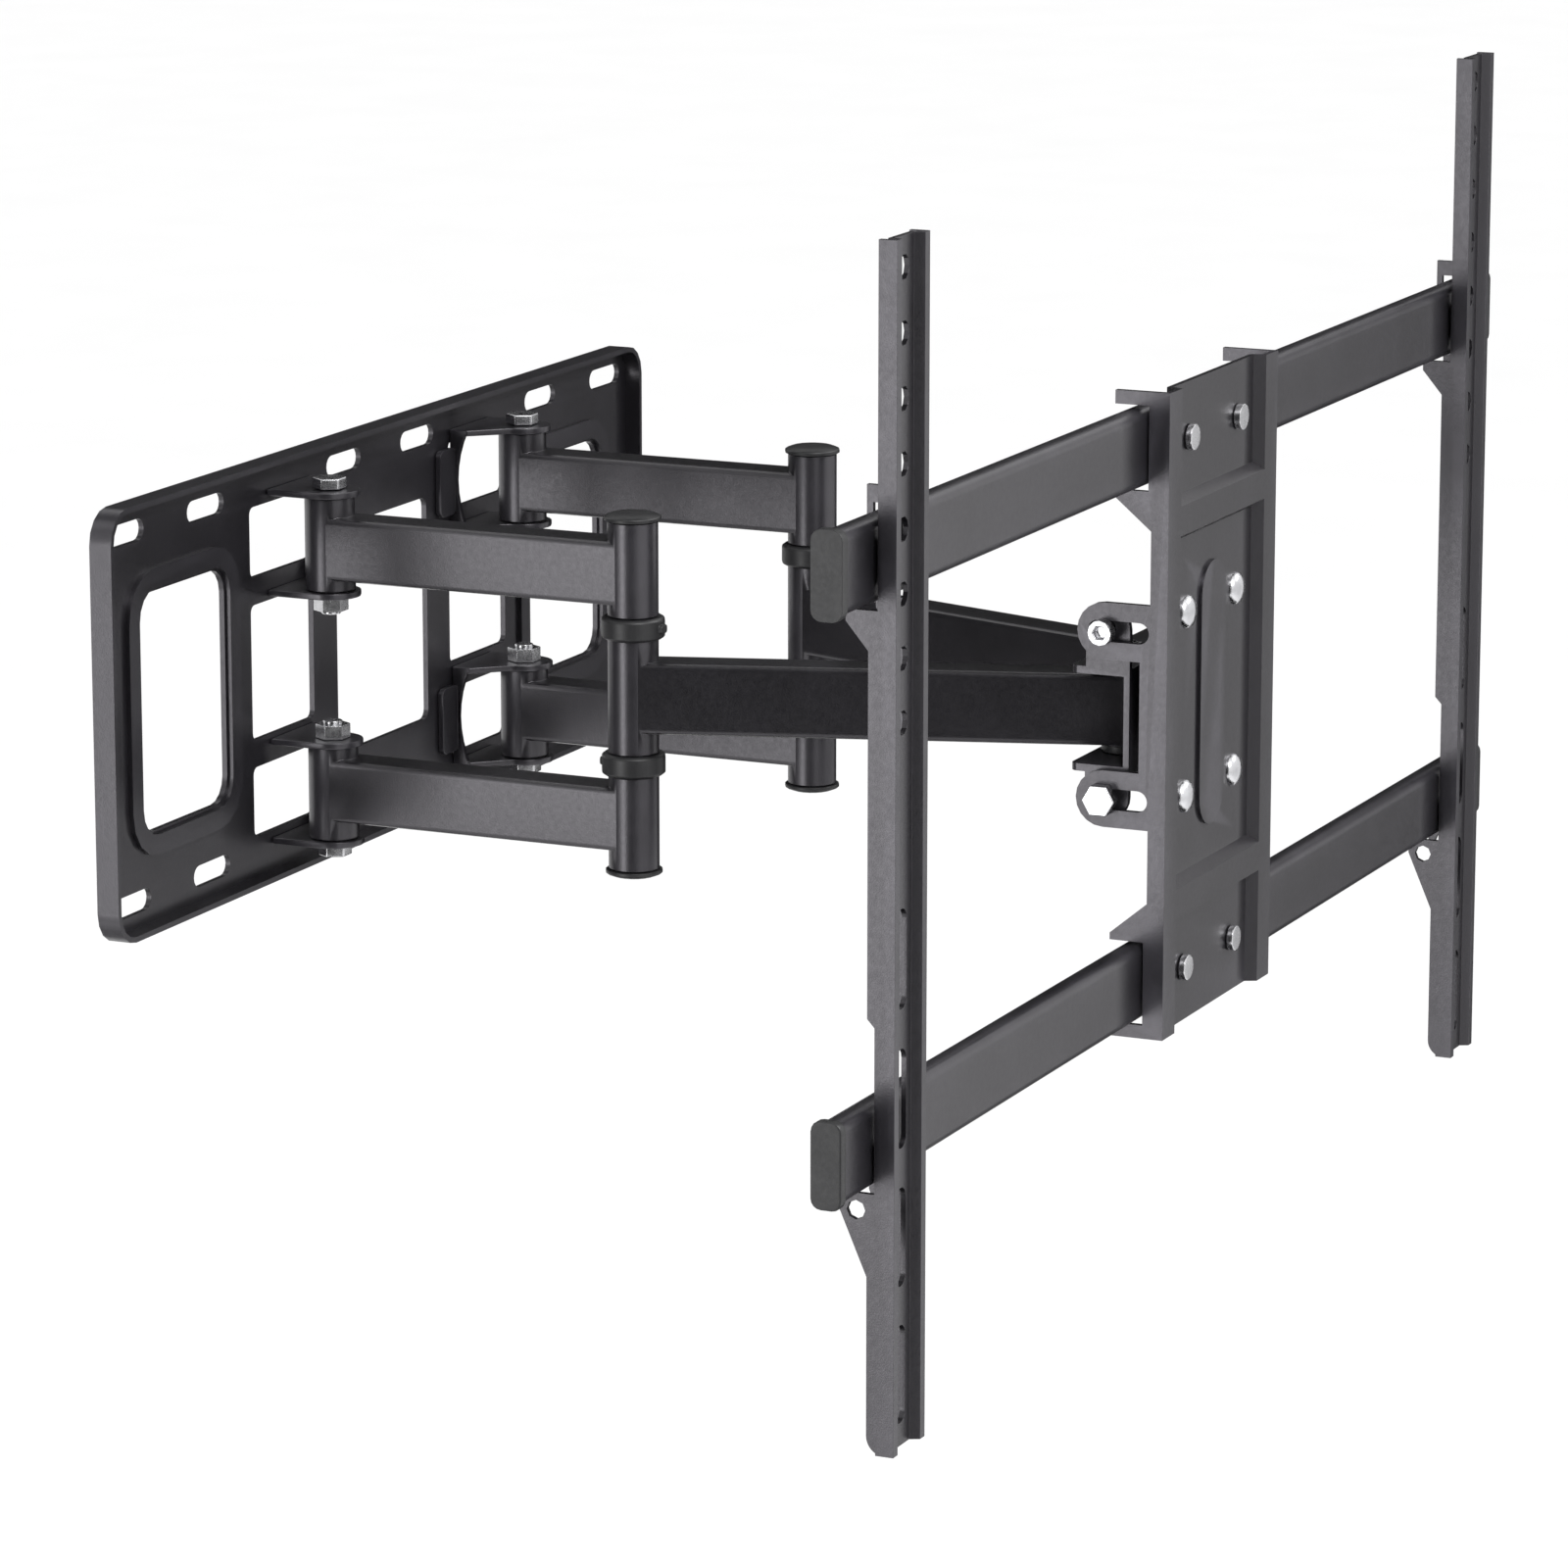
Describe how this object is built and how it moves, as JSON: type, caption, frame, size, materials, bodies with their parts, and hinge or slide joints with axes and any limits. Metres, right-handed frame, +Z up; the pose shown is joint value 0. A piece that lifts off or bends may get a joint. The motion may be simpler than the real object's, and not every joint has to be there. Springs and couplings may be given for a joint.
{
  "type": "full motion tv wall mount",
  "caption": "Folding wall mount: slotted wall plate, paired rear arms, converging front arms, tilting head plate, two cross rails and two sliding upright TV brackets.",
  "frame": {"origin": "wall face of the wall plate, in the middle of its upper row of slots", "axes": "+X right seen from the room, +Y into the wall (the wall plate's back face normal), +Z up"},
  "size_m": [0.684, 0.3665, 0.43],
  "materials": {
    "powder_coat": "satin fine-grained black powder coat on steel",
    "black_plastic": "moulded black plastic",
    "zinc": "bright zinc-plated fasteners"
  },
  "bodies": {
    "wall": {"wall_plate": "powder_coat", "hinge_bracket_lower_left": "powder_coat", "hinge_bracket_lower_right": "powder_coat", "hinge_bracket_upper_left": "powder_coat", "hinge_bracket_upper_right": "powder_coat", "hinge_bolt_lower_left": "zinc", "hinge_bolt_lower_right": "zinc", "hinge_bolt_upper_left": "zinc", "hinge_bolt_upper_right": "zinc", "hinge_nut_lower_left": "zinc", "hinge_nut_lower_right": "zinc", "hinge_nut_upper_left": "zinc", "hinge_nut_upper_right": "zinc"},
    "left_rear_arms": {"rear_arm_lower_left": "powder_coat", "rear_arm_upper_left": "powder_coat", "elbow_cap_lower_left": "black_plastic", "elbow_cap_upper_left": "black_plastic", "elbow_collar_lower_left": "black_plastic", "elbow_collar_upper_left": "black_plastic", "elbow_pin_left": "zinc"},
    "left_front_arm": {"front_arm_left": "powder_coat", "pivot_bolt_left": "zinc", "pivot_nut_left": "zinc", "pivot_washer_lower_left": "black_plastic", "pivot_washer_upper_left": "black_plastic"},
    "right_rear_arms": {"rear_arm_lower_right": "powder_coat", "rear_arm_upper_right": "powder_coat", "elbow_cap_lower_right": "black_plastic", "elbow_cap_upper_right": "black_plastic", "elbow_collar_lower_right": "black_plastic", "elbow_collar_upper_right": "black_plastic", "elbow_pin_right": "zinc"},
    "right_front_arm": {"front_arm_right": "powder_coat", "pivot_bolt_right": "zinc", "pivot_nut_right": "zinc", "pivot_washer_lower_right": "black_plastic", "pivot_washer_upper_right": "black_plastic"},
    "yoke": {"yoke": "powder_coat", "tilt_bolt_lower_left": "zinc", "tilt_bolt_lower_right": "zinc", "tilt_bolt_upper_left": "zinc", "tilt_bolt_upper_right": "zinc", "tilt_nut_lower_left": "zinc", "tilt_nut_lower_right": "zinc", "tilt_nut_upper_left": "zinc", "tilt_nut_upper_right": "zinc"},
    "head": {"head_plate": "powder_coat", "rail_lower": "powder_coat", "rail_upper": "powder_coat", "rail_cap_lower_left": "black_plastic", "rail_cap_lower_right": "black_plastic", "rail_cap_upper_left": "black_plastic", "rail_cap_upper_right": "black_plastic", "rail_bolt_lower_left": "zinc", "rail_bolt_lower_right": "zinc", "rail_bolt_upper_left": "zinc", "rail_bolt_upper_right": "zinc"},
    "tv_bracket_left": {"tv_bracket_left": "powder_coat"},
    "tv_bracket_right": {"tv_bracket_right": "powder_coat"}
  },
  "joints": [
    {"name": "left_rear_fold", "type": "hinge", "parent": "wall", "child": "left_rear_arms", "pos_m": [-0.0845, -0.024, -0.072], "axis": [0, 0, -1], "range_deg": [0, 85]},
    {"name": "left_elbow", "type": "hinge", "parent": "left_rear_arms", "child": "left_front_arm", "pos_m": [-0.0845, -0.156, -0.072], "axis": [0, 0, 1], "range_deg": [-1, 153]},
    {"name": "head_swivel", "type": "hinge", "parent": "left_front_arm", "child": "yoke", "pos_m": [-0.0264, -0.3369, -0.072], "axis": [0, 0, -1], "range_deg": [-1, 68]},
    {"name": "right_rear_fold", "type": "hinge", "parent": "wall", "child": "right_rear_arms", "pos_m": [0.0845, -0.024, -0.072], "axis": [0, 0, 1], "range_deg": [-1, 86]},
    {"name": "right_elbow", "type": "hinge", "parent": "right_rear_arms", "child": "right_front_arm", "pos_m": [0.0845, -0.156, -0.072], "axis": [0, 0, -1], "range_deg": [-1, 153]},
    {"name": "tilt", "type": "hinge", "parent": "yoke", "child": "head", "pos_m": [0, -0.341, -0.0365], "axis": [1, 0, 0], "range_deg": [-2, 8]},
    {"name": "tv_bracket_left_slide", "type": "slide", "parent": "head", "child": "tv_bracket_left", "axis": [1, 0, 0], "range_m": [-0.02, 0.22]},
    {"name": "tv_bracket_right_slide", "type": "slide", "parent": "head", "child": "tv_bracket_right", "axis": [-1, 0, 0], "range_m": [-0.02, 0.22]}
  ],
  "couplings": [
    {"joint": "left_elbow", "follows": "left_rear_fold", "ratio": 1.787},
    {"joint": "head_swivel", "follows": "left_rear_fold", "ratio": 0.787},
    {"joint": "right_rear_fold", "follows": "left_rear_fold", "ratio": 1},
    {"joint": "right_elbow", "follows": "left_rear_fold", "ratio": 1.787}
  ]
}
